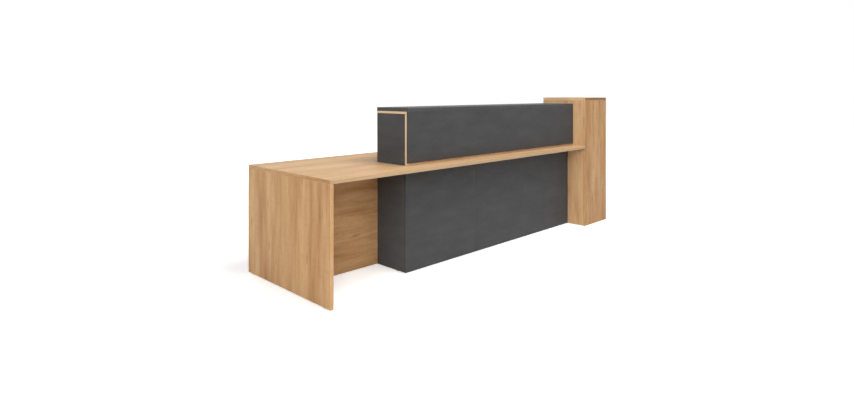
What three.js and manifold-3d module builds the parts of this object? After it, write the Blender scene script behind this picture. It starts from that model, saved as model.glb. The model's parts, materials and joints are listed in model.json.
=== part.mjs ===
// Reception desk: a long work desk, a raised visitor counter standing on it, and a storage tower
// that closes its right end, all of laminated board on screw feet.
// Millimetres. While it is built, X runs along the desk from its left end, Y from the visitors'
// edge to the staff side, and Z up from the floor. The last lines move the origin to the middle
// of the footprint.

import * as THREE from 'three';
import { mergeVertices } from 'three/addons/utils/BufferGeometryUtils.js';
import ManifoldModule from 'manifold-3d';

const wasm = await ManifoldModule();
wasm.setup();

// Desk
const DESK_LENGTH = 3000;
const DESK_DEPTH = 900;
const DESK_HEIGHT = 740;
const DESK_BOARD = 25;
const GABLE_BOARD = 25;
const MODESTY_BOARD = 18;
const MODESTY_SETBACK = 447;
const MID_GABLE_DEPTH = 330;
const FLOOR_CLEARANCE = 4;
const EDGE_RADIUS = 1.5;
const EDGE_STEPS = 2;

// Lower visitor front, under the desk top
const LOWER_START = 790;
const LOWER_SETBACK = 168;
const LOWER_FRONT_BOARD = 18;
const UPRIGHT_BOARD = 25;
const SEAM_FROM_CHEEK = 790;
const SEAM_GAP = 1.5;

// Raised counter, on the desk top
const COUNTER_START = 760;
const COUNTER_SETBACK = 115;
const COUNTER_RISE = 390;
const COUNTER_SLAB = 25;
const COUNTER_FRONT_BOARD = 16;
const COUNTER_SHADOW_GAP = 18;
const ACCENT_BOARD = 16;
const COUNTER_END_BOARD = 18;
const COUNTER_END_INSET = 1.5;
const DIVIDER_COUNT = 2;
const DIVIDER_BOARD = 18;
const DIVIDER_SETBACK = 20;

// Tower
const TOWER_WIDTH = 425;
const TOWER_DEPTH = 420;
const TOWER_RISE = 55;
const TOWER_TOP_BOARD = 25;
const TOWER_BOARD = 18;
const TOWER_BOTTOM_RISE = 30;
const SHELF_COUNT = 3;
const SHELF_BOARD = 18;
const SHELF_SETBACK = 15;

// Screw feet in the board edges
const FOOT_STEM_RADIUS = 4;
const FOOT_STEM_LENGTH = 28;
const FOOT_DISC_RADIUS = 10;
const FOOT_DISC_HEIGHT = 1.5;
const FOOT_HEX_RADIUS = 11.5;
const FOOT_HEX_SIDES = 6;
const FOOT_INSET = 60;
const SLEEVE_WALL = 1.8;
const SLEEVE_LENGTH = 20;
const SLEEVE_BARB = 0.5;
const SLEEVE_BARB_COUNT = 4;
const BORE_SPARE = 4;

// Screw feet under the tower's bottom board
const TOWER_FOOT_RADIUS = 17;
const TOWER_FOOT_HEIGHT = 9;
const TOWER_STEM_RADIUS = 5;
const TOWER_STEM_SPARE = 4;
const TOWER_FOOT_INSET = 48;
const SOCKET_WALL = 7;
const SOCKET_FLANGE_RADIUS = 25;
const SOCKET_FLANGE_HEIGHT = 4;
const SOCKET_LIFT = 3;
const ACCESS_HOLE_CLEARANCE = 1.5;

// Steel angles between the modesty panels and the desk top
const ANGLE_LEG = 40;
const ANGLE_WIDTH = 30;
const ANGLE_SHEET = 2.5;
const ANGLE_BEND_RADIUS = 3;
const ANGLE_BEND_STEPS = 4;
const ANGLE_HOLE_RADIUS = 2.6;
const ANGLES_PER_PANEL = 3;

// Fits and facets
const RUN_CLEARANCE = 0.3;
const EASE = 0.8;
const ROUND_SIDES = 16;
const HOLE_SIDES = 12;
const CUT_OVERRUN = 1;
const MERGE_DISTANCE = 1e-4;

// Levels and planes that several pieces share
const underDesk = DESK_HEIGHT - DESK_BOARD;
const modestyBack = MODESTY_SETBACK + MODESTY_BOARD;
const seamX = LOWER_START + SEAM_FROM_CHEEK;
const lowerFrontBack = LOWER_SETBACK + LOWER_FRONT_BOARD;

// Finishes
const FINISHES = {
  oak: { color: 0xc09a70, roughness: 0.55, metalness: 0 },
  anthracite: { color: 0x535353, roughness: 0.6, metalness: 0 },
  blackNylon: { color: 0x1c1c1d, roughness: 0.5, metalness: 0 },
  zincSteel: { color: 0xb4b6b8, roughness: 0.35, metalness: 1 },
};

const desk = new THREE.Group();

function place(name, finish, geometry, x, y, z) {
  const mesh = new THREE.Mesh(geometry, new THREE.MeshStandardMaterial(FINISHES[finish]));
  mesh.name = name;
  mesh.position.set(x, y, z);
  desk.add(mesh);
  return mesh;
}

// Joining and cutting
function solidOf(geometry) {
  const bare = geometry.clone();
  bare.deleteAttribute('normal');
  bare.deleteAttribute('uv');
  const merged = mergeVertices(bare, MERGE_DISTANCE);
  return new wasm.Manifold(new wasm.Mesh({
    numProp: 3,
    vertProperties: new Float32Array(merged.attributes.position.array),
    triVerts: new Uint32Array(merged.index.array),
  }));
}

function geometryOf(solid) {
  const { vertProperties, triVerts } = solid.getMesh();
  const geometry = new THREE.BufferGeometry();
  geometry.setAttribute('position', new THREE.BufferAttribute(vertProperties, 3));
  geometry.setIndex(new THREE.BufferAttribute(triVerts, 1));
  geometry.computeVertexNormals();
  return geometry;
}

function cut(geometry, tools) {
  const left = tools.reduce((rest, tool) => rest.subtract(solidOf(tool)), solidOf(geometry));
  return geometryOf(left);
}

// A round bar along Z, from z0 to z1
function bar(radius, x, y, z0, z1, sides = ROUND_SIDES) {
  const geometry = new THREE.CylinderGeometry(radius, radius, z1 - z0, sides);
  geometry.rotateX(Math.PI / 2);
  geometry.translate(x, y, (z0 + z1) / 2);
  return geometry;
}

// A profile of [radius, height] pairs turned about Z
function turned(profile, sides = ROUND_SIDES) {
  const points = profile.map(([radius, height]) => new THREE.Vector2(radius, height));
  const geometry = new THREE.LatheGeometry(points, sides);
  geometry.rotateX(Math.PI / 2);
  return geometry;
}

// A board with eased edges: its face is drawn flat, extruded through the thinnest of the three
// sizes with a rounded bevel, and turned so that the extrusion lies along that axis.
function boardGeometry(size) {
  const thin = size.indexOf(Math.min(...size));
  const across = (thin + 1) % 3;
  const along = (thin + 2) % 3;
  const u = size[across] / 2 - EDGE_RADIUS;
  const v = size[along] / 2 - EDGE_RADIUS;
  const face = new THREE.Shape();
  face.moveTo(-u, -v);
  face.lineTo(u, -v);
  face.lineTo(u, v);
  face.lineTo(-u, v);
  face.closePath();
  const geometry = new THREE.ExtrudeGeometry(face, {
    depth: size[thin] - 2 * EDGE_RADIUS,
    bevelSize: EDGE_RADIUS,
    bevelThickness: EDGE_RADIUS,
    bevelSegments: EDGE_STEPS,
  });
  geometry.translate(0, 0, EDGE_RADIUS - size[thin] / 2);
  const axes = [new THREE.Vector3(1, 0, 0), new THREE.Vector3(0, 1, 0), new THREE.Vector3(0, 0, 1)];
  geometry.applyMatrix4(new THREE.Matrix4().makeBasis(axes[across], axes[along], axes[thin]));
  return geometry;
}

// A board between three pairs of planes. Bores are upright holes { radius, x, y, z0, z1 }.
function board(name, finish, [x0, x1], [y0, y1], [z0, z1], bores = []) {
  const centre = new THREE.Vector3((x0 + x1) / 2, (y0 + y1) / 2, (z0 + z1) / 2);
  let geometry = boardGeometry([x1 - x0, y1 - y0, z1 - z0]);
  if (bores.length > 0) {
    const drills = bores.map((bore) => bar(bore.radius, bore.x - centre.x, bore.y - centre.y,
      bore.z0 - centre.z, bore.z1 - centre.z));
    geometry = cut(geometry, drills);
  }
  return place(name, finish, geometry, centre.x, centre.y, centre.z);
}

// A screw foot: a hexagon to turn it by, a glide disc under it and a stem above it
function footGeometry() {
  const padTop = FLOOR_CLEARANCE - RUN_CLEARANCE;
  const stemTop = padTop + FOOT_STEM_LENGTH;
  const shank = turned([
    [0, 0],
    [FOOT_DISC_RADIUS - EASE, 0],
    [FOOT_DISC_RADIUS, EASE],
    [FOOT_DISC_RADIUS, padTop],
    [FOOT_STEM_RADIUS, padTop],
    [FOOT_STEM_RADIUS, stemTop - EASE],
    [FOOT_STEM_RADIUS - EASE, stemTop],
    [0, stemTop],
  ]);
  const hexagon = bar(FOOT_HEX_RADIUS, 0, 0, FOOT_DISC_HEIGHT, padTop, FOOT_HEX_SIDES);
  return geometryOf(solidOf(shank).add(solidOf(hexagon)));
}

// The barbed sleeve that the stem screws into, from its mouth upwards
const sleeveBore = FOOT_STEM_RADIUS + RUN_CLEARANCE;
const sleeveRadius = sleeveBore + SLEEVE_WALL;

function sleeveGeometry() {
  const profile = [[sleeveBore, 0]];
  const pitch = SLEEVE_LENGTH / SLEEVE_BARB_COUNT;
  for (let barb = 0; barb < SLEEVE_BARB_COUNT; barb += 1) {
    profile.push([sleeveRadius, barb * pitch]);
    profile.push([sleeveRadius - SLEEVE_BARB, (barb + 1) * pitch]);
  }
  profile.push([sleeveBore, SLEEVE_LENGTH]);
  profile.push([sleeveBore, 0]);
  return turned(profile);
}

const foot = footGeometry();
const sleeve = sleeveGeometry();

// The bore in a board's lower edge for one foot
function footBore(x, y) {
  return {
    radius: sleeveRadius + RUN_CLEARANCE,
    x,
    y,
    z0: FLOOR_CLEARANCE - CUT_OVERRUN,
    z1: FLOOR_CLEARANCE + FOOT_STEM_LENGTH + BORE_SPARE,
  };
}

// An upright board on feet, which stand in a row at the given Y places
function footedBoard(name, finish, [x0, x1], y, z, footPlaces) {
  const x = (x0 + x1) / 2;
  board(name, finish, [x0, x1], y, z, footPlaces.map((footY) => footBore(x, footY)));
  footPlaces.forEach((footY, index) => {
    const ending = footPlaces.length > 1 ? ['_front', '_back'][index] : '';
    place(`${name}_foot${ending}`, 'blackNylon', foot, x, footY, 0);
    place(`${name}_foot_sleeve${ending}`, 'zincSteel', sleeve, x, footY, FLOOR_CLEARANCE);
  });
}

// Desk: top, gables and modesty panels
const standing = [FLOOR_CLEARANCE, underDesk];

board('desk_top', 'oak', [0, DESK_LENGTH], [0, DESK_DEPTH], [underDesk, DESK_HEIGHT]);

footedBoard('left_gable', 'oak', [0, GABLE_BOARD], [0, DESK_DEPTH], standing,
  [FOOT_INSET, DESK_DEPTH - FOOT_INSET]);

footedBoard('mid_gable', 'oak', [seamX - GABLE_BOARD / 2, seamX + GABLE_BOARD / 2],
  [modestyBack, modestyBack + MID_GABLE_DEPTH], standing,
  [modestyBack + MID_GABLE_DEPTH - FOOT_INSET]);

footedBoard('right_gable', 'oak', [DESK_LENGTH - GABLE_BOARD, DESK_LENGTH],
  [modestyBack, DESK_DEPTH], standing, [modestyBack + FOOT_INSET, DESK_DEPTH - FOOT_INSET]);

const modestySpan = [MODESTY_SETBACK, modestyBack];
board('modesty_panel_left', 'oak', [GABLE_BOARD, seamX], modestySpan, standing);
board('modesty_panel_right', 'oak', [seamX, DESK_LENGTH], modestySpan, standing);

// Lower visitor front: a cheek and two uprights carry two front panels
const uprightSpan = [lowerFrontBack, MODESTY_SETBACK];
const uprightFeet = [lowerFrontBack + FOOT_INSET];
footedBoard('lower_cheek', 'anthracite', [LOWER_START, LOWER_START + UPRIGHT_BOARD],
  uprightSpan, standing, uprightFeet);
footedBoard('lower_upright_mid', 'anthracite', [seamX - UPRIGHT_BOARD / 2, seamX + UPRIGHT_BOARD / 2],
  uprightSpan, standing, uprightFeet);
footedBoard('lower_upright_right', 'anthracite', [DESK_LENGTH - UPRIGHT_BOARD, DESK_LENGTH],
  uprightSpan, standing, uprightFeet);

const lowerFrontSpan = [LOWER_SETBACK, lowerFrontBack];
board('lower_front_left', 'anthracite', [LOWER_START, seamX - SEAM_GAP / 2], lowerFrontSpan, standing);
board('lower_front_right', 'anthracite', [seamX + SEAM_GAP / 2, DESK_LENGTH], lowerFrontSpan, standing);

// Raised counter: a dark slab and front over an accent L, ends and dividers under it,
// flush with the tower's back
const counterTop = DESK_HEIGHT + COUNTER_RISE;
const underSlab = counterTop - COUNTER_SLAB;
const underAccent = underSlab - ACCENT_BOARD;
const counterBack = TOWER_DEPTH;
const accentFront = COUNTER_SETBACK + COUNTER_FRONT_BOARD;
const accentBack = accentFront + ACCENT_BOARD;
const counterSpan = [COUNTER_START, DESK_LENGTH];
const counterStanding = [DESK_HEIGHT, underAccent];

board('counter_slab', 'anthracite', counterSpan, [COUNTER_SETBACK, counterBack], [underSlab, counterTop]);
board('counter_front', 'anthracite', counterSpan, [COUNTER_SETBACK, accentFront],
  [DESK_HEIGHT + COUNTER_SHADOW_GAP, underSlab]);
board('accent_top', 'oak', counterSpan, [accentFront, counterBack], [underAccent, underSlab]);
board('accent_front', 'oak', counterSpan, [accentFront, accentBack], counterStanding);

const endLeft = COUNTER_START + COUNTER_END_INSET;
const endRight = DESK_LENGTH - COUNTER_END_BOARD;
board('counter_end_left', 'anthracite', [endLeft, endLeft + COUNTER_END_BOARD],
  [accentBack, counterBack], counterStanding);
board('counter_end_right', 'anthracite', [endRight, DESK_LENGTH], [accentBack, counterBack],
  counterStanding);

const bayStart = endLeft + COUNTER_END_BOARD;
const bayPitch = (endRight - bayStart) / (DIVIDER_COUNT + 1);
for (let divider = 1; divider <= DIVIDER_COUNT; divider += 1) {
  const x = bayStart + divider * bayPitch;
  board(`counter_divider_${divider}`, 'oak', [x - DIVIDER_BOARD / 2, x + DIVIDER_BOARD / 2],
    [accentBack, counterBack - DIVIDER_SETBACK], counterStanding);
}

// Tower, a little higher than the counter: a front and two sides under a top board, open to the
// staff, with fixed shelves
const towerRight = DESK_LENGTH + TOWER_WIDTH;
const towerHeight = counterTop + TOWER_RISE;
const underTowerTop = towerHeight - TOWER_TOP_BOARD;
const towerStanding = [FLOOR_CLEARANCE, underTowerTop];
const towerInside = [DESK_LENGTH + TOWER_BOARD, towerRight - TOWER_BOARD];

board('tower_top', 'oak', [DESK_LENGTH, towerRight], [0, TOWER_DEPTH], [underTowerTop, towerHeight]);
board('tower_front', 'oak', [DESK_LENGTH, towerRight], [0, TOWER_BOARD], towerStanding);
board('tower_left_side', 'oak', [DESK_LENGTH, towerInside[0]], [TOWER_BOARD, TOWER_DEPTH], towerStanding);
board('tower_right_side', 'oak', [towerInside[1], towerRight], [TOWER_BOARD, TOWER_DEPTH], towerStanding);

const bottomTop = TOWER_BOTTOM_RISE + TOWER_BOARD;
const socketBore = TOWER_STEM_RADIUS + RUN_CLEARANCE;
const towerFootPlaces = [];
for (const y of [TOWER_BOARD + TOWER_FOOT_INSET, TOWER_DEPTH - TOWER_FOOT_INSET]) {
  for (const x of [towerInside[0] + TOWER_FOOT_INSET, towerInside[1] - TOWER_FOOT_INSET]) {
    towerFootPlaces.push({ x, y });
  }
}

board('tower_bottom', 'oak', towerInside, [TOWER_BOARD, TOWER_DEPTH], [TOWER_BOTTOM_RISE, bottomTop],
  towerFootPlaces.map(({ x, y }) => ({
    radius: TOWER_STEM_RADIUS + ACCESS_HOLE_CLEARANCE,
    x,
    y,
    z0: TOWER_BOTTOM_RISE - CUT_OVERRUN,
    z1: bottomTop + CUT_OVERRUN,
  })));

const shelfPitch = (underTowerTop - bottomTop - SHELF_COUNT * SHELF_BOARD) / (SHELF_COUNT + 1);
for (let shelf = 1; shelf <= SHELF_COUNT; shelf += 1) {
  const z = bottomTop + shelf * shelfPitch + (shelf - 1) * SHELF_BOARD;
  board(`tower_shelf_${shelf}`, 'oak', towerInside, [TOWER_BOARD, TOWER_DEPTH - SHELF_SETBACK],
    [z, z + SHELF_BOARD]);
}

// Tower feet: the stem passes through a flanged socket under the bottom board, where a key
// reaches it from inside the tower
const towerStemTop = bottomTop - TOWER_STEM_SPARE;
const towerFoot = turned([
  [0, 0],
  [TOWER_FOOT_RADIUS - EASE, 0],
  [TOWER_FOOT_RADIUS, EASE],
  [TOWER_FOOT_RADIUS, TOWER_FOOT_HEIGHT / 2],
  [TOWER_STEM_RADIUS + SOCKET_WALL, TOWER_FOOT_HEIGHT],
  [TOWER_STEM_RADIUS, TOWER_FOOT_HEIGHT],
  [TOWER_STEM_RADIUS, towerStemTop - EASE],
  [TOWER_STEM_RADIUS - EASE, towerStemTop],
  [0, towerStemTop],
]);
const socketBottom = TOWER_FOOT_HEIGHT + SOCKET_LIFT;
const socket = turned([
  [socketBore, socketBottom],
  [socketBore + SOCKET_WALL, socketBottom],
  [socketBore + SOCKET_WALL, TOWER_BOTTOM_RISE - SOCKET_FLANGE_HEIGHT],
  [SOCKET_FLANGE_RADIUS, TOWER_BOTTOM_RISE - SOCKET_FLANGE_HEIGHT],
  [SOCKET_FLANGE_RADIUS, TOWER_BOTTOM_RISE],
  [socketBore, TOWER_BOTTOM_RISE],
  [socketBore, socketBottom],
]);
towerFootPlaces.forEach(({ x, y }, index) => {
  place(`tower_foot_${index + 1}`, 'blackNylon', towerFoot, x, y, 0);
  place(`tower_foot_socket_${index + 1}`, 'blackNylon', socket, x, y, 0);
});

// Steel angles: bent sheet with one screw hole in each leg
function angleGeometry() {
  const outline = new THREE.Shape();
  const outer = ANGLE_BEND_RADIUS + ANGLE_SHEET;
  outline.moveTo(outer, 0);
  outline.lineTo(ANGLE_LEG, 0);
  outline.lineTo(ANGLE_LEG, ANGLE_SHEET);
  outline.lineTo(outer, ANGLE_SHEET);
  outline.absarc(outer, outer, ANGLE_BEND_RADIUS, -Math.PI / 2, -Math.PI, true);
  outline.lineTo(ANGLE_SHEET, ANGLE_LEG);
  outline.lineTo(0, ANGLE_LEG);
  outline.lineTo(0, outer);
  outline.absarc(outer, outer, outer, Math.PI, 1.5 * Math.PI, false);
  const angle = new THREE.ExtrudeGeometry(outline, {
    depth: ANGLE_WIDTH,
    bevelEnabled: false,
    curveSegments: ANGLE_BEND_STEPS,
  });
  angle.translate(0, 0, -ANGLE_WIDTH / 2);
  const holeAt = (ANGLE_LEG + outer) / 2;
  const drill = new THREE.CylinderGeometry(ANGLE_HOLE_RADIUS, ANGLE_HOLE_RADIUS,
    2 * (ANGLE_SHEET + CUT_OVERRUN), HOLE_SIDES);
  const flatHole = drill.clone().translate(holeAt, 0, 0);
  const uprightHole = drill.clone().rotateZ(Math.PI / 2).translate(0, holeAt, 0);
  const drilled = cut(angle, [flatHole, uprightHole]);
  // the first leg lies along Y, the second hangs down, and the width runs along X
  const run = new THREE.Vector3(0, 1, 0);
  const drop = new THREE.Vector3(0, 0, -1);
  const width = new THREE.Vector3(-1, 0, 0);
  drilled.applyMatrix4(new THREE.Matrix4().makeBasis(run, drop, width));
  return drilled;
}

const angle = angleGeometry();
const panelBays = [
  { side: 'left', from: GABLE_BOARD, to: seamX - GABLE_BOARD / 2 },
  { side: 'right', from: seamX + GABLE_BOARD / 2, to: DESK_LENGTH - GABLE_BOARD },
];
for (const { side, from, to } of panelBays) {
  for (let index = 1; index <= ANGLES_PER_PANEL; index += 1) {
    const x = from + (to - from) * (index - 0.5) / ANGLES_PER_PANEL;
    place(`angle_${side}_${index}`, 'zincSteel', angle, x, modestyBack, underDesk);
  }
}

// The origin goes to the middle of the footprint, on the floor
desk.position.set(-towerRight / 2, -DESK_DEPTH / 2, 0);

export default desk;
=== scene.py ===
# %% [markdown]
# # A reception desk, dressed around its frame
# The desk is panel furniture: every large piece is a flat board of chipboard, faced with a printed
# laminate and closed round its edges with a glued plastic band. One could model each board afresh,
# but the frame already holds it at its real size and place. So this lesson reads the frame, and only
# adds softened edges, laminates and the small fittings that a joiner would see on a real desk.

import json
import math

import bpy
import numpy as np
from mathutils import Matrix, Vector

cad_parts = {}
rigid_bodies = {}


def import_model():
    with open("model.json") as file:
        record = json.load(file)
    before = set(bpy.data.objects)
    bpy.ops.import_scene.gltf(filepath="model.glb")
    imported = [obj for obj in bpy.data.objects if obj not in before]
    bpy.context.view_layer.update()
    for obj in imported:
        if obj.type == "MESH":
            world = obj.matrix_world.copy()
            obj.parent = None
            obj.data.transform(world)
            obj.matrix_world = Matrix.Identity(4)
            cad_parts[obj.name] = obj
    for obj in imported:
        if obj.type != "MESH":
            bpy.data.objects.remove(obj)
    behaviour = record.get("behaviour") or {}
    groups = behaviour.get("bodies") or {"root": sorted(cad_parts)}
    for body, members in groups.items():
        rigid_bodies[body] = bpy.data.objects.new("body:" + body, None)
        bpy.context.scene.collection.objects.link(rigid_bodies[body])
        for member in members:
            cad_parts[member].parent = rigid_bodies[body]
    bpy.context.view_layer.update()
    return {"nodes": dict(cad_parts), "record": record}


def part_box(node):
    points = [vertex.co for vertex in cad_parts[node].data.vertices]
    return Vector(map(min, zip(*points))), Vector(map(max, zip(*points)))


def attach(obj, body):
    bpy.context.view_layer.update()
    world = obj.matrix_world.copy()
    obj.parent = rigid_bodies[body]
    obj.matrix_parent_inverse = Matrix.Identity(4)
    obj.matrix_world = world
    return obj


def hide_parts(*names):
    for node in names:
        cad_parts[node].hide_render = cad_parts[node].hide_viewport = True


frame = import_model()
record = frame["record"]
slot_of = {part["node"]: part["material_slot"] for part in record["subparts"]}
body_of = {node: body for body, nodes in record["behaviour"]["bodies"].items() for node in nodes}
DESK_BODY = body_of["desk_top"]
MM = 0.001

# %% [markdown]
# ## The camera
# The photograph has upright lines that stay parallel, so the camera was held level and the picture
# was framed by shifting it, as an architect's lens does. A tilted camera could frame the same view,
# but its uprights would lean together. A level camera has a pitch of exactly 90 degrees here, and
# the lens shift moves the horizon up the picture.

# %% Camera
PHOTO_WIDTH, PHOTO_HEIGHT = 854, 410
FOCAL_PIXELS = 551.57
HORIZON_ROW = 92.26
AXIS_COLUMN = 355.2
CAMERA_PLACE = (-3.6527, -2.8835, 1.236)
CAMERA_YAW = math.radians(41.154)
SENSOR_WIDTH = 36.0
CLIP_END = 200

camera_data = bpy.data.cameras.new("camera")
camera_data.sensor_fit = "HORIZONTAL"
camera_data.sensor_width = SENSOR_WIDTH
camera_data.lens = FOCAL_PIXELS / PHOTO_WIDTH * SENSOR_WIDTH
camera_data.shift_x = (PHOTO_WIDTH / 2 - AXIS_COLUMN) / PHOTO_WIDTH
camera_data.shift_y = (HORIZON_ROW - PHOTO_HEIGHT / 2) / PHOTO_WIDTH
camera_data.clip_end = CLIP_END
camera = bpy.data.objects.new("camera", camera_data)
camera.location = CAMERA_PLACE
camera.rotation_euler = (math.pi / 2, 0, -CAMERA_YAW)
bpy.context.scene.collection.objects.link(camera)
bpy.context.scene.camera = camera
print("lens %.1f mm, shift %.3f %.3f" % (camera_data.lens, camera_data.shift_x, camera_data.shift_y))

# %% [markdown]
# ## Nodes by the handful
# A procedural finish is a small graph of nodes. It could be drawn by hand in the shader editor, or
# written out at four lines a node. Here one helper adds a node, sets its options and fills its
# sockets, either with a plain value or with another node's output, which keeps each finish short.

# %% Helpers for nodes


def add(tree, kind, inputs=None, **settings):
    """Adds a node to the tree. Inputs maps a socket's name or number to a value or to an output."""
    node = tree.nodes.new("ShaderNode" + kind)
    for setting, value in settings.items():
        setattr(node, setting, value)
    for socket, value in (inputs or {}).items():
        if isinstance(value, bpy.types.NodeSocket):
            tree.links.new(value, node.inputs[socket])
        else:
            node.inputs[socket].default_value = value
    return node


def math_node(tree, operation, first, second=0.0, third=0.0, clamp=False):
    """One sum: the second and third numbers are left at zero where the operation doesn't use them."""
    node = add(tree, "Math", {0: first, 1: second, 2: third}, operation=operation, use_clamp=clamp)
    return node.outputs[0]


def vector_node(tree, operation, first, second):
    """The same for two vectors, number by number."""
    return add(tree, "VectorMath", {0: first, 1: second}, operation=operation).outputs[0]


def new_finish(name):
    """An empty material with a shader at its output, and its tree."""
    material = bpy.data.materials.new(name)
    material.use_nodes = True
    tree = material.node_tree
    tree.nodes.clear()
    shader = add(tree, "BsdfPrincipled")
    add(tree, "OutputMaterial", {"Surface": shader.outputs[0]})
    return material, tree, shader


print("node helpers ready")

# %% [markdown]
# ## Colours and noises
# Printed laminates are made of a few inks and of patterns that repeat at several scales. Colours are
# easiest to judge as the screen shows them, so they are written that way and turned into the linear
# values that shaders need. Each pattern is a noise, either stretched along a grain or even all round.

# %% Helpers for colours and noises
BLACK, WHITE = (0, 0, 0, 1), (1, 1, 1, 1)


def srgb(red, green, blue):
    """A colour as a screen shows it, 0 to 255, turned into the linear values that shaders use."""
    levels = np.array([red, green, blue]) / 255
    linear = np.where(levels > 0.04045, ((levels + 0.055) / 1.055) ** 2.4, levels / 12.92)
    return (*linear.tolist(), 1.0)


def stretched_noise(tree, vector, spots, detail, roughness=0.5):
    """Noise whose spots are drawn out: so many to the metre along the grain and across it."""
    scaled = vector_node(tree, "MULTIPLY", vector, (*spots, 1.0))
    noise = add(tree, "TexNoise", {"Vector": scaled, "Scale": 1.0, "Detail": detail,
                                   "Roughness": roughness}, noise_dimensions="2D")
    return noise.outputs[0]


def cloud(tree, vector, spots, detail, roughness=0.55):
    """Noise of equal spots, so many to the metre."""
    noise = add(tree, "TexNoise", {"Vector": vector, "Scale": spots, "Detail": detail,
                                   "Roughness": roughness})
    return noise.outputs[0]


def ramp(tree, value, stops, interpolation="LINEAR"):
    """A colour ramp through (position, colour) stops."""
    node = add(tree, "ValToRGB", {0: value})
    node.color_ramp.interpolation = interpolation
    elements = node.color_ramp.elements
    while len(elements) < len(stops):
        elements.new(0.5)
    for element, (position, colour) in zip(elements, stops):
        element.position = position
        element.color = colour
    return node.outputs[0]


def laid_over(tree, colour, share, ink):
    """A colour with a share, 0 to 1, of another ink over it."""
    return add(tree, "Mix", {"Factor": share, "A": colour, "B": ink}, data_type="RGBA").outputs["Result"]


print("mid grey on screen is %.3f in the shader" % srgb(128, 128, 128)[0])

# %% [markdown]
# ## The oak print
# The light boards carry a printed oak: broad soft bands a few fingers wide, finer streaks inside
# them, short dark pores and dashes, and now and then a fleck. All of it runs along the grain, and
# each board was cut from the sheet in its own direction. A pattern in object space would run the
# same way through every board, so each board gets a flat map called grain, in metres, whose first
# axis follows the fibres, and the print is drawn on that map.

# %% Oak print
OAK_DARK = srgb(160, 117, 76)
OAK_BROWN = srgb(182, 139, 96)
OAK_MIDDLE = srgb(193, 152, 108)
OAK_LIGHT = srgb(205, 167, 124)
OAK_PORE = srgb(140, 98, 60)
WANDER_SPOTS, WANDER_REACH = (0.9, 2.4), 0.035
BAND_SPOTS, BAND_SHARE = (0.9, 7.5), 0.48
STREAK_SPOTS, STREAK_SHARE = (2.4, 24.0), 0.38
FIBRE_SPOTS, FIBRE_SHARE = (8.0, 300.0), 0.14
PORE_SPOTS, PORE_INK = (26.0, 760.0), 0.45
DASH_SPOTS, DASH_INK = (6.0, 75.0), 0.48
FLECK_CELLS, FLECK_INK = (2.1, 8.0), 0.7
CELLS_WITHOUT_FLECK = 0.45


def fleck_share(tree, grain):
    """Flecks: a soft spot in the middle of a Voronoi cell, in those cells whose lot is high enough."""
    cells = vector_node(tree, "MULTIPLY", grain, (*FLECK_CELLS, 1.0))
    fleck = add(tree, "TexVoronoi", {"Vector": cells, "Scale": 1.0}, voronoi_dimensions="2D")
    near = ramp(tree, fleck.outputs["Distance"], [(0.02, WHITE), (0.11, BLACK)], "EASE")
    lot = add(tree, "SeparateColor", {0: fleck.outputs["Color"]}).outputs[0]
    chosen = math_node(tree, "GREATER_THAN", lot, CELLS_WITHOUT_FLECK)
    return math_node(tree, "MULTIPLY", math_node(tree, "MULTIPLY", near, chosen), FLECK_INK)


def oak_print(tree):
    """Bands, streaks and fibres are three noises of finer and finer width; their weighted sum picks a
    colour, and pores, dashes and flecks darken it. A slow noise sways them all across the grain."""
    grain = add(tree, "UVMap", uv_map="grain").outputs[0]
    wander = stretched_noise(tree, grain, WANDER_SPOTS, 2.0)
    drift = math_node(tree, "MULTIPLY", math_node(tree, "SUBTRACT", wander, 0.5), WANDER_REACH)
    wavy = vector_node(tree, "ADD", grain, add(tree, "CombineXYZ", {"Y": drift}).outputs[0])
    bands = stretched_noise(tree, wavy, BAND_SPOTS, 2.0)
    streaks = stretched_noise(tree, wavy, STREAK_SPOTS, 3.0, 0.55)
    fibres = stretched_noise(tree, wavy, FIBRE_SPOTS, 3.0, 0.6)
    shade = math_node(tree, "MULTIPLY", bands, BAND_SHARE)
    shade = math_node(tree, "MULTIPLY_ADD", streaks, STREAK_SHARE, shade)
    shade = math_node(tree, "MULTIPLY_ADD", fibres, FIBRE_SHARE, shade)
    colour = ramp(tree, shade, [(0.33, OAK_DARK), (0.443, OAK_BROWN), (0.54, OAK_MIDDLE),
                                (0.655, OAK_LIGHT)])
    pores = ramp(tree, stretched_noise(tree, wavy, PORE_SPOTS, 1.0), [(0.60, BLACK), (0.74, WHITE)])
    colour = laid_over(tree, colour, math_node(tree, "MULTIPLY", pores, PORE_INK), OAK_PORE)
    dashes = ramp(tree, stretched_noise(tree, wavy, DASH_SPOTS, 1.0), [(0.64, BLACK), (0.76, WHITE)])
    colour = laid_over(tree, colour, math_node(tree, "MULTIPLY", dashes, DASH_INK), OAK_DARK)
    colour = laid_over(tree, colour, fleck_share(tree, wavy), OAK_DARK)
    return colour, fibres, pores


print("a dark band comes about every %.0f mm" % (1 / BAND_SPOTS[1] / MM))

# %% [markdown]
# ## The oak's skin
# Over the print lies a matt skin that is embossed along the fibres. A plain glossy coat would mirror
# the room, so the sheen is kept low and broken by the fibres and pores. Three more values ride on
# each board's mesh: how close a point is to an arris, where the print is a little lighter, partly for
# wear and partly as a painted highlight, and how dark and how pale each side is painted, for the
# light and shade that falls on it and for a painted sheen.

# %% Oak laminate
OAK_PALE = srgb(220, 190, 153)
# Share of pale print at an arris: partly wear, partly a painted highlight.
OAK_WEAR_AND_HIGHLIGHT = 0.4
OAK_SHEEN = 0.06


def mesh_value(tree, name):
    """A value that rides on the mesh, read back by its name."""
    return add(tree, "Attribute", attribute_name=name).outputs["Fac"]


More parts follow.
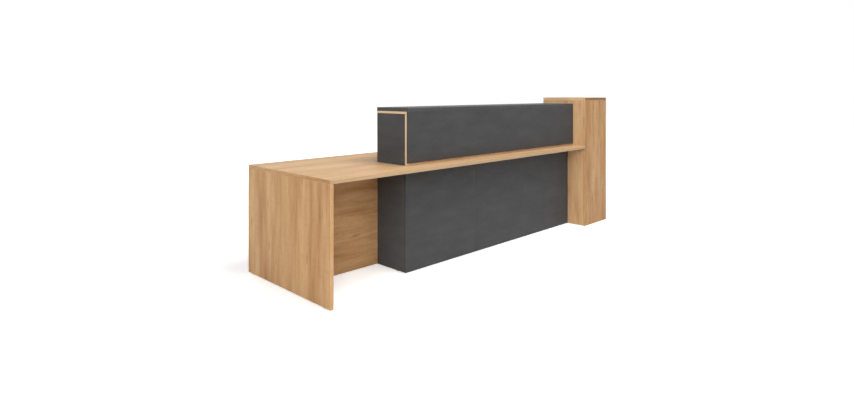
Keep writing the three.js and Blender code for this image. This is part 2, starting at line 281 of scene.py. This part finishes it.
def oak_laminate():
    """The print, paler towards each arris for wear and a painted highlight, and on sides with a painted
    sheen, times the side's tone, which paints its light and shade.
    """
    material, tree, shader = new_finish("oak_laminate")
    colour, fibres, pores = oak_print(tree)
    # Paler at the arrises for wear and a painted highlight, and on sides with a painted sheen.
    paler = math_node(tree, "MULTIPLY_ADD", mesh_value(tree, "arris"), OAK_WEAR_AND_HIGHLIGHT, mesh_value(tree, "pale"),
                      clamp=True)
    colour = laid_over(tree, colour, paler, OAK_PALE)
    # Each side's tone paints the light and shade that fall on it.
    colour = add(tree, "VectorMath", {0: colour, "Scale": mesh_value(tree, "tone")}, operation="SCALE")
    tree.links.new(colour.outputs[0], shader.inputs["Base Color"])
    roughness = math_node(tree, "MULTIPLY_ADD", fibres, 0.22, 0.34)
    roughness = math_node(tree, "MULTIPLY_ADD", pores, 0.12, roughness)
    tree.links.new(roughness, shader.inputs["Roughness"])
    shader.inputs["Specular IOR Level"].default_value = OAK_SHEEN
    height = math_node(tree, "SUBTRACT", math_node(tree, "MULTIPLY", fibres, 0.4), pores)
    bump = add(tree, "Bump", {"Strength": 0.25, "Distance": 0.15 * MM, "Height": height})
    tree.links.new(bump.outputs[0], shader.inputs["Normal"])
    return material


oak = oak_laminate()
print("oak nodes:", len(oak.node_tree.nodes))

# %% [markdown]
# ## Anthracite laminate
# The dark boards have a mineral print, like fine slate: soft smudges the size of a hand that lie
# level, a speckle the size of sand, and a matt skin with a very fine tooth. It could be drawn on each
# board's own map like the oak, but it has no grain, so it reads object space and runs on from board
# to board.

# %% Anthracite laminate
SLATE_DARK = srgb(66, 66, 67)
SLATE_MIDDLE = srgb(72, 72, 73)
SLATE_LIGHT = srgb(79, 79, 80)
# Lighter grey for the arrises: partly wear, partly a painted highlight.
SLATE_ARRIS = srgb(96, 96, 95)
SLATE_WEAR_AND_HIGHLIGHT = 0.15
SLATE_SHEEN = 0.08
SMUDGE_SPOTS, SMUDGE_SQUASH, SMUDGE_SHARE = 11.0, (0.3, 0.3, 1.0), 0.7
SAND_SPOTS, SAND_SHARE = 180.0, 0.3
TOOTH_SPOTS = 1400.0


def anthracite_laminate():
    """Smudges and sand are summed into a shade, and the tooth of the skin goes to bump and roughness."""
    material, tree, shader = new_finish("anthracite_laminate")
    place = add(tree, "TexCoord").outputs["Object"]
    smudges = cloud(tree, vector_node(tree, "MULTIPLY", place, SMUDGE_SQUASH), SMUDGE_SPOTS, 6.0, 0.7)
    sand = cloud(tree, place, SAND_SPOTS, 3.0)
    tooth = cloud(tree, place, TOOTH_SPOTS, 2.0)
    shade = math_node(tree, "MULTIPLY", smudges, SMUDGE_SHARE)
    shade = math_node(tree, "MULTIPLY_ADD", sand, SAND_SHARE, shade)
    colour = ramp(tree, shade, [(0.34, SLATE_DARK), (0.5, SLATE_MIDDLE), (0.66, SLATE_LIGHT)])
    # Lighter towards each arris: partly wear, partly a painted highlight.
    worn_and_lit = math_node(tree, "MULTIPLY", mesh_value(tree, "arris"), SLATE_WEAR_AND_HIGHLIGHT)
    colour = laid_over(tree, colour, worn_and_lit, SLATE_ARRIS)
    # Each side's tone paints the light and shade that fall on it.
    colour = add(tree, "VectorMath", {0: colour, "Scale": mesh_value(tree, "tone")}, operation="SCALE")
    tree.links.new(colour.outputs[0], shader.inputs["Base Color"])
    roughness = math_node(tree, "MULTIPLY_ADD", smudges, 0.16, 0.42)
    roughness = math_node(tree, "MULTIPLY_ADD", tooth, 0.06, roughness)
    tree.links.new(roughness, shader.inputs["Roughness"])
    shader.inputs["Specular IOR Level"].default_value = SLATE_SHEEN
    bump = add(tree, "Bump", {"Strength": 0.2, "Distance": 0.1 * MM, "Height": tooth})
    tree.links.new(bump.outputs[0], shader.inputs["Normal"])
    return material


anthracite = anthracite_laminate()
print("anthracite nodes:", len(anthracite.node_tree.nodes))

# %% [markdown]
# ## One side of a board
# A sawn box has edges sharper than any real board. A Bevel modifier could round it, but it would not
# know where the laminate ends and the edge band begins. So a board is six grids, one for each side of
# a box. A grid is bunched near its borders, and each border point is pulled onto a quarter round of
# the edge radius, so neighbouring grids meet in the middle of the arris. On the two broad sides
# a hairline groove marks the joint between laminate and band.

# %% One side of a board
EDGE_RADIUS = 1.6 * MM
ROUND_STEPS = 2
BAND_THICKNESS = 2.4 * MM
JOINT_WIDTH = 0.3 * MM
JOINT_DEPTH = 0.12 * MM
MERGE_STEP = 1e-6
FLAT_LIMIT = 1 - 1e-9


def stations(half, with_joint):
    """Where grid lines lie across one side, from minus half to plus half: the tangents of equal
    angles up to 45 degrees within an edge radius of each end, and three at the band joint if asked."""
    angles = np.linspace(0, np.pi / 4, ROUND_STEPS + 1)
    upper = half - EDGE_RADIUS + EDGE_RADIUS * np.tan(angles)
    if with_joint:
        joint = half - BAND_THICKNESS + JOINT_WIDTH * np.array([-0.5, 0.0, 0.5])
        upper = np.concatenate([joint, upper])
    return np.concatenate([-upper[::-1], upper])


def board_side(half, lines, axis, sign, thin, grain_axis):
    """One side of a board. A point of the box is moved to the nearest point of the box shrunk by
    the edge radius, and then one edge radius out along the line between the two."""
    first, second = (axis + 1) % 3, (axis + 2) % 3
    u, v = np.meshgrid(lines[first], lines[second], indexing="ij")
    outer = np.empty(u.shape + (3,))
    outer[..., first] = u
    outer[..., second] = v
    outer[..., axis] = sign * half[axis]
    inner = np.clip(outer, EDGE_RADIUS - half, half - EDGE_RADIUS)
    out = outer - inner
    out /= np.linalg.norm(out, axis=-1, keepdims=True)
    points = inner + EDGE_RADIUS * out
    if axis == thin:
        far_u, far_v = half[first] - BAND_THICKNESS, half[second] - BAND_THICKNESS
        on_u = np.isclose(np.abs(u), far_u) & (np.abs(v) < far_v + MERGE_STEP)
        on_v = np.isclose(np.abs(v), far_v) & (np.abs(u) < far_u + MERGE_STEP)
        points[..., axis] -= sign * JOINT_DEPTH * (on_u | on_v)
        along = grain_axis
    else:
        along = first if half[first] > half[second] else second
    across = first + second - along
    level = sign * out[..., axis]
    return {
        "points": points,
        "grain": np.stack([outer[..., along], outer[..., across]], axis=-1),
        "arris": np.clip(np.arccos(np.clip(level, -1, 1)) / (np.pi / 4), 0, 1),
        "flat": level > FLAT_LIMIT,
        "turned": sign < 0,
    }


print("a joint lies %.1f mm in from each edge" % (BAND_THICKNESS / MM))

# %% [markdown]
# ## Six sides in one mesh
# The six grids share their border points, because both neighbours pull them to the same place. Six
# loose sheets would look the same from outside, but a solid board needs a closed skin. So points that
# coincide become one vertex, and the flat cells stay flat while the rounded ones are shaded smooth.

# %% Close the sides
# The tone and paleness of each face carry its painted light, shade and sheen.
SHADES = ("tone", "pale")


def closed_mesh(name, grids):
    """One mesh from several grids: points that coincide become one vertex, and the cells between
    grid lines become quads, wound so that they face outwards."""
    points, arris, quads, grain, smooth = [], [], [], [], []
    shades = {shade: [] for shade in SHADES}
    start = 0
    for grid in grids:
        shape = grid["points"].shape[:2]
        number = start + np.arange(shape[0] * shape[1]).reshape(shape)
        start += number.size
        corners = [(slice(None, -1), slice(None, -1)), (slice(1, None), slice(None, -1)),
                   (slice(1, None), slice(1, None)), (slice(None, -1), slice(1, None))]
        if grid["turned"]:
            corners = corners[::-1]
        quads.append(np.stack([number[c].ravel() for c in corners], axis=-1))
        grain.append(np.stack([grid["grain"][c].reshape(-1, 2) for c in corners], axis=1))
        smooth.append(~np.all([grid["flat"][c].ravel() for c in corners], axis=0))
        for shade, values in shades.items():
            values.append(np.full(len(quads[-1]), grid[shade], np.float32))
        points.append(grid["points"].reshape(-1, 3))
        arris.append(grid["arris"].ravel())
    points, arris = np.concatenate(points), np.concatenate(arris)
    keys = np.round(points / MERGE_STEP).astype(np.int64)
    _, keep, vertex = np.unique(keys, axis=0, return_index=True, return_inverse=True)
    faces = vertex.ravel()[np.concatenate(quads)]
    mesh = bpy.data.meshes.new(name)
    mesh.from_pydata(points[keep].tolist(), [], faces.tolist())
    mesh.polygons.foreach_set("use_smooth", np.concatenate(smooth))
    grain_map = mesh.uv_layers.new(name="grain")
    grain_map.uv.foreach_set("vector", np.concatenate(grain).astype(np.float32).ravel())
    mesh.attributes.new("arris", "FLOAT", "POINT").data.foreach_set("value", arris[keep].astype(np.float32))
    for shade, values in shades.items():
        mesh.attributes.new(shade, "FLOAT", "FACE").data.foreach_set("value", np.concatenate(values))
    mesh.update()
    return mesh


print("values on each face:", ", ".join(SHADES))

# %% [markdown]
# ## A whole board
# A board is given by two opposite corners. Its thinnest direction tells which two sides are broad.
# If all six sides read the same part of the print, a streak would turn up again on every side, so
# each side looks at a part of its own.

# %% A whole board
NO_PAINTED_LIGHT = (1.0, 0.0)
SIDE_STEP = np.array([0.9, 0.31])


def rounded_board(name, low, high, grain_axis, cut_place, painted_light_by_side):
    """A board between two corners. Cut_place says where on the printed sheet it was cut, and
    painted_light_by_side gives each side's painted light and shade: a tone that darkens or lightens it, and
    a paleness that paints a sheen."""
    low, high = np.array(low), np.array(high)
    half, centre = (high - low) / 2, (high + low) / 2
    thin = int(np.argmin(half))
    lines = [stations(half[axis], axis != thin) for axis in range(3)]
    grids = []
    for axis in range(3):
        for sign in (-1, 1):
            grid = board_side(half, lines, axis, sign, thin, grain_axis)
            grid["points"] = grid["points"] + centre
            grid["grain"] = grid["grain"] + cut_place + SIDE_STEP * (2 * axis + sign)
            grid.update(zip(SHADES, painted_light_by_side.get((axis, sign), NO_PAINTED_LIGHT)))
            grids.append(grid)
    return closed_mesh(name, grids)


sample = rounded_board("sample", (0, 0, 0), (1, 0.5, 0.025), 0, 0, {})
print("a board has", len(sample.polygons), "faces")
bpy.data.meshes.remove(sample)

# %% [markdown]
# ## Cutting every board
# Grain runs along the desk in the tops, shelves and modesty panels, and upright in gables, dividers
# and the tower's walls, as a joiner would turn the sheets. Some sides are painted a little darker or
# lighter than their neighbours for the light and shade that falls on them, and some paler as a
# painted sheen. Each board is cut from another place on the sheet.

# %% Make the boards
X, Y, Z = 0, 1, 2
UPRIGHT_GRAIN = ("gable", "tower_front", "side", "divider", "counter_end", "cheek", "upright")
LEFT, FRONT, UP = (X, -1), (Y, -1), (Z, 1)
# Painted light and shade: each side's tone darkens or lightens it for the light that falls on it, and its
# paleness paints a sheen, as on the desk top.
SIDE_PAINTED_LIGHT = {
    "left_gable": {LEFT: (0.93, 0.08)},
    "desk_top": {LEFT: (0.845, 0.0), FRONT: (0.75, 0.6), UP: (0.975, 0.3)},
    "lower_cheek": {LEFT: (1.16, 0.0)},
    "counter_front": {FRONT: (0.89, 0.0)},
    "accent_top": {LEFT: (0.92, 1.0)},
    "accent_front": {LEFT: (0.87, 1.0), FRONT: (1.15, 1.0)},
    "tower_left_side": {LEFT: (1.02, 0.2)},
    "tower_front": {FRONT: (0.92, 0.0)},
    "tower_top": {LEFT: (1.02, 0.35), FRONT: (0.55, 0.0)},
}
FINISHES = {"oak_laminate": oak, "anthracite_laminate": anthracite}
SHEET_STEP = np.array([1.37, 0.83])


def finish_piece(piece, body, material):
    """Links a piece, gives it its material, and lets it ride on its body."""
    bpy.context.scene.collection.objects.link(piece)
    piece.data.materials.append(material)
    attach(piece, body)


boards = sorted(node for node, slot in slot_of.items() if slot in FINISHES)
for number, node in enumerate(boards):
    upright = any(word in node for word in UPRIGHT_GRAIN)
    mesh = rounded_board(node + "_board", *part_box(node), Z if upright else X, number * SHEET_STEP,
                         SIDE_PAINTED_LIGHT.get(node, {}))
    piece = bpy.data.objects.new(node + "_board", mesh)
    finish_piece(piece, body_of[node], FINISHES[slot_of[node]])
    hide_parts(node)
print("boards:", len(boards))

# %% [markdown]
# ## Turned pieces
# Bores, screw heads, feet, sockets and caps are all turned: a profile of radius and height is swept
# round an axis. Blender's Screw modifier could do that for round pieces. Here a third number lets
# a ring depart from the circle in six lobes, which draws a six-lobe screw drive or a hexagon with
# soft corners in the same sweep.

# %% Turned surfaces
LOBES = 6
TURN_STEPS = 48
SHARP_ANGLE = math.radians(35)
ALONG_Y, ALONG_Z = (0.0, 1.0, 0.0), (0.0, 0.0, 1.0)


def turned_mesh(name, profile, foot, up, steps=TURN_STEPS, hollow=False):
    """The point at ring k and angle t lies at foot + r cos t, r sin t across the axis and h along it,
    where r is the ring's radius times 1 + lobe cos 6t. The first and last rings are closed with one
    flat face each, or, in a hollow piece, joined to each other."""
    radius, height, lobe = (np.array(column)[:, None] for column in zip(*profile))
    angle = np.linspace(0, 2 * np.pi, steps, endpoint=False)[None, :]
    reach = radius * (1 + lobe * np.cos(LOBES * angle))
    up = np.array(up, float)
    side = np.cross(up, ALONG_Y if abs(up[1]) < 0.5 else ALONG_Z)
    front = np.cross(up, side)
    points = ((reach * np.cos(angle))[..., None] * side + (reach * np.sin(angle))[..., None] * front
              + (height + 0 * angle)[..., None] * up + np.array(foot))
    number = np.arange(points.shape[0] * steps).reshape(-1, steps)
    lower = number if hollow else number[:-1]
    upper = np.roll(number, -1, axis=0)[:len(lower)]
    quads = np.stack([lower, np.roll(lower, -1, axis=1), np.roll(upper, -1, axis=1), upper], axis=-1)
    ends = [] if hollow else [number[0, ::-1].tolist(), number[-1].tolist()]
    mesh = bpy.data.meshes.new(name)
    mesh.from_pydata(points.reshape(-1, 3).tolist(), [], quads.reshape(-1, 4).tolist() + ends)
    mesh.shade_smooth()
    mesh.set_sharp_from_angle(angle=SHARP_ANGLE)
    return mesh


print("a turned ring has", TURN_STEPS, "points")

# %% [markdown]
# ## Bores for the feet
# Each screw foot runs in a sleeve that is pressed into a bore in a board's lower edge, and the
# tower's bottom has a hole over each foot, through which it is turned from above. The holes could
# be built into the grids, but only seven boards have any. So they are cut with a Boolean difference,
# and the evaluated result is kept as the board's mesh, so that no cutter stays behind in the scene.

# %% Bore the boards
BORE_CLEARANCE = 0.3 * MM
BORE_SPARE = 4 * MM
OVERRUN = 1 * MM
ACCESS_HOLE_RADIUS = 6.5 * MM
BIT_STEPS = 32


def axis_of(node):
    """Where a round node's upright axis stands in plan."""
    low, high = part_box(node)
    return (low.x + high.x) / 2, (low.y + high.y) / 2


def radius_of(node):
    """Half of a round node's width."""
    low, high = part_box(node)
    return (high.x - low.x) / 2


def bore(piece, plan, radius, low, high):
    """Cuts an upright round hole into a piece."""
    profile = [(radius, 0, 0), (radius, high - low, 0)]
    cutter = bpy.data.objects.new("bit", turned_mesh("bit", profile, (*plan, low), ALONG_Z, BIT_STEPS))
    bpy.context.scene.collection.objects.link(cutter)
    cutting = piece.modifiers.new("bore", "BOOLEAN")
    cutting.object = cutter
    cutting.operation = "DIFFERENCE"
    depsgraph = bpy.context.evaluated_depsgraph_get()
    result = bpy.data.meshes.new_from_object(piece.evaluated_get(depsgraph), depsgraph=depsgraph,
                                             preserve_all_data_layers=True)
    piece.modifiers.clear()
    piece.data = result
    bpy.data.objects.remove(cutter)


sleeves = sorted(node for node in slot_of if "_foot_sleeve" in node)
for node in sleeves:
    board = bpy.data.objects[node.split("_foot_sleeve")[0] + "_board"]
    stem_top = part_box(node.replace("_sleeve", ""))[1].z
    bore(board, axis_of(node), radius_of(node) + BORE_CLEARANCE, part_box(node)[0].z - OVERRUN,
         stem_top + BORE_SPARE)
sockets = sorted(node for node in slot_of if "_foot_socket" in node)
bottom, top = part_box("tower_bottom")
for node in sockets:
    bore(bpy.data.objects["tower_bottom_board"], axis_of(node), ACCESS_HOLE_RADIUS,
         bottom.z - OVERRUN, top.z + OVERRUN)
print("bores:", len(sleeves) + len(sockets))

# %% [markdown]
# ## Zinc and nylon
# The angles and sleeves are bright zinc with a faint crystalline mottle. They already have their true
# shapes in the frame, so they keep them and only get a finish. The feet and sockets are black moulded
# nylon, never quite smooth, because the mould was spark eroded.

# %% Fittings' finishes
ZINC_DARK, ZINC_LIGHT = srgb(168, 170, 173), srgb(205, 207, 209)
ZINC_SPOTS = 260.0
NYLON_DARK, NYLON_LIGHT = srgb(24, 24, 25), srgb(36, 36, 37)
NYLON_SPOTS = 2600.0
SPARK_DEPTH = 0.05 * MM


def zinc_steel():
    """Zinc plating: a metal whose lightness and roughness vary with a fine mottle."""
    material, tree, shader = new_finish("zinc_steel")
    mottle = cloud(tree, add(tree, "TexCoord").outputs["Object"], ZINC_SPOTS, 4.0)
    tree.links.new(ramp(tree, mottle, [(0.3, ZINC_DARK), (0.7, ZINC_LIGHT)]), shader.inputs["Base Color"])
    shader.inputs["Metallic"].default_value = 1.0
    tree.links.new(math_node(tree, "MULTIPLY_ADD", mottle, 0.3, 0.2), shader.inputs["Roughness"])
    return material


def moulded_plastic(name, dark, light, spots, smoothest, strength):
    """Moulded plastic: the fine spark texture of its mould varies colour, roughness and height."""
    material, tree, shader = new_finish(name)
    spark = cloud(tree, add(tree, "TexCoord").outputs["Object"], spots, 2.0)
    tree.links.new(ramp(tree, spark, [(0.3, dark), (0.7, light)]), shader.inputs["Base Color"])
    tree.links.new(math_node(tree, "MULTIPLY_ADD", spark, 0.2, smoothest), shader.inputs["Roughness"])
    bump = add(tree, "Bump", {"Strength": strength, "Distance": SPARK_DEPTH, "Height": spark})
    tree.links.new(bump.outputs[0], shader.inputs["Normal"])
    return material


nylon = moulded_plastic("black_nylon", NYLON_DARK, NYLON_LIGHT, NYLON_SPOTS, 0.4, 0.3)
FITTING_FINISHES = {"zinc_steel": zinc_steel(), "black_nylon": nylon}
kept_shapes = [node for node, slot in slot_of.items() if slot == "zinc_steel"]
for node in kept_shapes:
    mesh = frame["nodes"][node].data
    mesh.materials.clear()
    mesh.materials.append(FITTING_FINISHES["zinc_steel"])
print("fittings that keep their shapes:", len(kept_shapes))

# %% [markdown]
# ## Screws
# Two screws hold each angle, one up into the desk top and one into the modesty panel. Their pan heads
# are turned: a short wall, a dome, and a six-lobe pocket sunk into it. A dark dot on a disc would do
# from afar, but a real pocket catches the light as a screw does.

# %% Screws
HEAD_RADIUS = 4.6 * MM
HEAD_HEIGHT = 2.4 * MM
WALL_SHARE = 0.25
DOME_STEPS = 7
DRIVE_RADIUS = 2.0 * MM
DRIVE_RIM = DRIVE_RADIUS * 1.3
DRIVE_DEPTH = 1.5 * MM
DRIVE_LOBE = 0.14
DRIVE_TIP_RADIUS = DRIVE_RADIUS * 0.4
DRIVE_TIP_DEPTH = DRIVE_DEPTH * 1.15
HOLE_FROM_CORNER = 22.75 * MM
SHEET = 2.5 * MM

dome = np.linspace(0, np.pi / 2, DOME_STEPS)
dome_radius = DRIVE_RIM + (HEAD_RADIUS - DRIVE_RIM) * np.cos(dome)
dome_height = HEAD_HEIGHT * (WALL_SHARE + (1 - WALL_SHARE) * np.sin(dome))
head_profile = [(HEAD_RADIUS, 0, 0), *zip(dome_radius, dome_height, 0 * dome),
                (DRIVE_RADIUS, HEAD_HEIGHT, DRIVE_LOBE),
                (DRIVE_RADIUS, HEAD_HEIGHT - DRIVE_DEPTH, DRIVE_LOBE),
                (DRIVE_TIP_RADIUS, HEAD_HEIGHT - DRIVE_TIP_DEPTH, 0)]


def screw(name, foot, up):
    """A screw head with its underside at foot, that stands out along up."""
    piece = bpy.data.objects.new(name, turned_mesh(name, head_profile, foot, up))
    finish_piece(piece, DESK_BODY, FITTING_FINISHES["zinc_steel"])


angles = sorted(node for node in slot_of if node.startswith("angle_"))
for node in angles:
    low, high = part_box(node)
    middle = (low.x + high.x) / 2
    screw(node + "_screw_up", (middle, low.y + HOLE_FROM_CORNER, high.z - SHEET), (0, 0, -1))
    screw(node + "_screw_back", (middle, low.y + SHEET, high.z - HOLE_FROM_CORNER), (0, 1, 0))
print("screws:", 2 * len(angles))

# %% [markdown]
# ## Feet under the boards
# A board's foot is a glide disc under a hexagon that a spanner turns, with a stem up into the sleeve.
# The frame has it with sharp corners. A Bevel modifier would round them all alike, so the profile is
# turned afresh: arcs at the disc and the stem's end, chamfers and soft corners on the hexagon.

# %% Feet under the boards
CORNER = 0.8 * MM
CORNER_STEPS = 5
FOOT_STEPS = 72
STEM_RADIUS = 4.0 * MM
DISC_HEIGHT = 1.5 * MM
CHAMFER = 0.4 * MM
CHAMFER_SHARE = 0.97
HEX_LOBE = -0.07
HEX_SHARE = 0.935


def arc(radius, height, start, stop, size=CORNER):
    """Rings of a rounded corner of a profile: part of a circle of the given size about a point."""
    return [(radius + size * math.cos(a), height + size * math.sin(a), 0.0)
            for a in np.linspace(math.radians(start), math.radians(stop), CORNER_STEPS)]


def replace_turned(node, profile, hollow=False):
    """A turned piece on the axis of a node of the frame, in its place."""
    mesh = turned_mesh(node, profile, (*axis_of(node), 0.0), ALONG_Z, FOOT_STEPS, hollow)
    piece = bpy.data.objects.new(node + "_turned", mesh)
    finish_piece(piece, body_of[node], FITTING_FINISHES[slot_of[node]])
    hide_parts(node)


edge_feet = sorted(node.replace("_sleeve", "") for node in sleeves)
for node in edge_feet:
    low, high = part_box(node)
    disc, hexagon = radius_of(node), (high.y - low.y) / 2 * HEX_SHARE
    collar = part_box(node.replace("_foot", "_foot_sleeve"))[0].z - BORE_CLEARANCE
    profile = arc(disc - CORNER, CORNER, -90, 0)
    profile += [(disc, DISC_HEIGHT, 0.0), (hexagon * CHAMFER_SHARE, DISC_HEIGHT, HEX_LOBE),
                (hexagon, DISC_HEIGHT + CHAMFER, HEX_LOBE), (hexagon, collar - CHAMFER, HEX_LOBE),
                (hexagon * CHAMFER_SHARE, collar, HEX_LOBE), (STEM_RADIUS, collar, 0.0)]
    replace_turned(node, profile + arc(STEM_RADIUS - CORNER, high.z - CORNER, 0, 90))
print("feet under the boards:", len(edge_feet))

# %% [markdown]
# ## Feet and sockets of the tower
# The tower carries more weight on a smaller plan, so its feet are larger pads with a concave flank,
# and their stems run in flanged sockets under its bottom board. They are turned like the other feet.
# A socket is hollow: its profile runs up the outside, over the flange and back down the bore.

# %% Feet and sockets of the tower
TOWER_STEM_RADIUS = 5.0 * MM
TOWER_NECK_RADIUS = 12.0 * MM
TOWER_RIM_HEIGHT = 4.5 * MM
TOWER_PAD_HEIGHT = 9.0 * MM
FLANK_STEPS = 9
SOCKET_BORE = 5.3 * MM
SOCKET_RADIUS = 12.3 * MM
FLANGE_HEIGHT = 4.0 * MM

tower_feet = sorted(node.replace("_socket", "") for node in sockets)
for node in tower_feet:
    rim, stem_top = radius_of(node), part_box(node)[1].z
    sink = np.linspace(0, np.pi / 2, FLANK_STEPS)
    flank_radius = rim - (rim - TOWER_NECK_RADIUS) * np.sin(sink)
    flank_height = TOWER_PAD_HEIGHT - (TOWER_PAD_HEIGHT - TOWER_RIM_HEIGHT) * np.cos(sink)
    profile = arc(rim - CORNER, CORNER, -90, 0) + [*zip(flank_radius, flank_height, 0 * sink)]
    profile += [(TOWER_STEM_RADIUS, TOWER_PAD_HEIGHT, 0.0)]
    replace_turned(node, profile + arc(TOWER_STEM_RADIUS - CORNER, stem_top - CORNER, 0, 90))
for node in sockets:
    low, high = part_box(node)
    flange, under = radius_of(node), high.z - FLANGE_HEIGHT
    profile = [(SOCKET_BORE, low.z, 0.0)] + arc(SOCKET_RADIUS - CORNER, low.z + CORNER, -90, 0)
    profile += arc(SOCKET_RADIUS + CORNER, under - CORNER, 180, 90)
    profile += arc(flange - CORNER, under + CORNER, -90, 0)
    profile += [(flange, high.z, 0.0), (SOCKET_BORE, high.z, 0.0)]
    replace_turned(node, profile, hollow=True)
print("tower feet:", len(tower_feet), "sockets:", len(sockets))

# %% [markdown]
# ## Cover caps
# Cam fittings pull the gables to the desk top and the shelves to the tower's sides. Where a cam was
# let into a board, a press-in cap of plastic in the colour of the laminate hides it. A flat circle
# drawn by the laminate's nodes could stand for it, but a cap stands a little proud and its rim is
# round, so it is turned too.

# %% Cover caps
CAP_RADIUS = 8.5 * MM
CAP_HEIGHT = 0.9 * MM
CAP_RIM = 0.5 * MM
CAP_SPOTS = 1800.0
CAM_FROM_EDGE = 34 * MM
CAM_FROM_END = 90 * MM

cap_plastic = moulded_plastic("cap_plastic", OAK_BROWN, OAK_MIDDLE, CAP_SPOTS, 0.35, 0.2)
cap_profile = [(CAP_RADIUS, 0.0, 0.0)] + arc(CAP_RADIUS - CAP_RIM, CAP_HEIGHT - CAP_RIM, 0, 90, CAP_RIM)
caps = []
for node, side in (("left_gable", 1), ("mid_gable", -1), ("right_gable", -1)):
    low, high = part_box(node)
    face = high.x if side > 0 else low.x
    start = max(low.y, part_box("modesty_panel_left")[1].y)
    caps += [((face, y, high.z - CAM_FROM_EDGE), (side, 0, 0))
             for y in (start + CAM_FROM_END, high.y - CAM_FROM_END)]
shelves = sorted(node for node in slot_of if node.startswith("tower_shelf"))
for node in shelves:
    low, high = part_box(node)
    caps += [((x, y, low.z), (0, 0, -1)) for x in (low.x + CAM_FROM_EDGE, high.x - CAM_FROM_EDGE)
             for y in (low.y + CAM_FROM_END, high.y - CAM_FROM_END)]
for number, (foot, up) in enumerate(caps, 1):
    name = "cover_cap_%d" % number
    piece = bpy.data.objects.new(name, turned_mesh(name, cap_profile, foot, up))
    finish_piece(piece, DESK_BODY, cap_plastic)
print("caps:", len(caps))

# %% [markdown]
# ## The white background
# The desk is shown in front of plain white. A white world would also light it from everywhere and
# take its shadows away. So a Light Path node tells rays apart: what the camera or a reflection sees
# is white, and diffuse light gets a far weaker sky.

# %% White background
SKY_STRENGTH = 0.03


def seen_directly(tree):
    """One for camera, glossy and transmission rays, and zero for the rest."""
    path = add(tree, "LightPath")
    rays = math_node(tree, "ADD", path.outputs["Is Camera Ray"], path.outputs["Is Glossy Ray"], clamp=True)
    return math_node(tree, "ADD", rays, path.outputs["Is Transmission Ray"], clamp=True)


world = bpy.data.worlds.new("studio")
bpy.context.scene.world = world
world.use_nodes = True
tree = world.node_tree
tree.nodes.clear()
sky = add(tree, "Background", {"Color": WHITE, "Strength": SKY_STRENGTH})
white = add(tree, "Background", {"Color": WHITE, "Strength": 1.0})
mix = add(tree, "MixShader", {0: seen_directly(tree), 1: sky.outputs[0], 2: white.outputs[0]})
add(tree, "OutputWorld", {"Surface": mix.outputs[0]})
print("sky strength:", SKY_STRENGTH)

# %% [markdown]
# ## The floor
# The floor is white card. Lit card alone turns grey with distance, and a shadow catcher would need
# the compositor. So the card shines a little by itself for the camera, and more farther away, which
# keeps it white up to the horizon and still lets the desk's shadow show near it.

# %% Floor
FLOOR_SIZE = 80.0
FLOOR_GLOW_NEAR = 0.4
FLOOR_GLOW_FAR = 0.98
GLOW_START = 2.5
GLOW_FULL = 6.0
CARD_SPOTS = 40.0
CARD_DARK, CARD_LIGHT = (0.86, 0.86, 0.86, 1), (0.9, 0.9, 0.9, 1)

card, tree, shader = new_finish("floor_card")
place = add(tree, "TexCoord").outputs["Object"]
fibre = cloud(tree, place, CARD_SPOTS, 3.0)
tree.links.new(ramp(tree, fibre, [(0.3, CARD_DARK), (0.7, CARD_LIGHT)]), shader.inputs["Base Color"])
shader.inputs["Roughness"].default_value = 0.9
shader.inputs["Specular IOR Level"].default_value = 0.0
shader.inputs["Emission Color"].default_value = WHITE
away = add(tree, "VectorMath", {0: place}, operation="LENGTH").outputs["Value"]
glow = add(tree, "MapRange", {"Value": away, "From Min": GLOW_START, "From Max": GLOW_FULL,
                              "To Min": FLOOR_GLOW_NEAR, "To Max": FLOOR_GLOW_FAR},
           interpolation_type="SMOOTHSTEP").outputs[0]
tree.links.new(math_node(tree, "MULTIPLY", seen_directly(tree), glow), shader.inputs["Emission Strength"])

reach = FLOOR_SIZE / 2
floor_mesh = bpy.data.meshes.new("floor")
floor_mesh.from_pydata([(-reach, -reach, 0), (reach, -reach, 0), (reach, reach, 0), (-reach, reach, 0)],
                       [], [(0, 1, 2, 3)])
floor = bpy.data.objects.new("floor", floor_mesh)
floor.data.materials.append(card)
bpy.context.scene.collection.objects.link(floor)
print("floor: %.0f m wide" % FLOOR_SIZE)

# %% [markdown]
# ## The lights
# The photograph has soft, even light that is strongest from the left and from above. A sun would
# cast hard shadows, so large area lights are used: one to the left, one in front, one above and
# before the counter, so that the strip of desk below it is lit too, and one for the staff's side,
# low down, so that it reaches into the open compartments and adds little to the desk top.

# %% Lights
AIM = (0.3, 0.0, 0.6)


def soft_light(name, place, size, power, mirrored=True):
    """A square area light at a place, turned to face the desk. One that isn't mirrored only lights
    surfaces, and leaves no bright patch in their sheen."""
    data = bpy.data.lights.new(name, "AREA")
    data.size = size
    data.energy = power
    light = bpy.data.objects.new(name, data)
    light.location = place
    light.visible_glossy = mirrored
    direction = np.array(AIM) - np.array(place)
    light.rotation_euler = (math.atan2(math.hypot(direction[0], direction[1]), -direction[2]), 0,
                            math.atan2(-direction[0], direction[1]))
    bpy.context.scene.collection.objects.link(light)


soft_light("left", (-9.0, -2.5, 4.0), 4.0, 345)
soft_light("front_left", (-6.0, -6.5, 4.6), 4.0, 390)
soft_light("above", (0.5, -2.8, 6.5), 4.0, 400)
soft_light("staff", (-0.5, 7.0, 2.4), 4.0, 190, mirrored=False)
print("lights:", len(bpy.data.lights))

# %% [markdown]
# ## Finish
# The Standard view transform shows the colours as they were set.

# %% Finish
view = bpy.context.scene.view_settings
view.view_transform = "Standard"
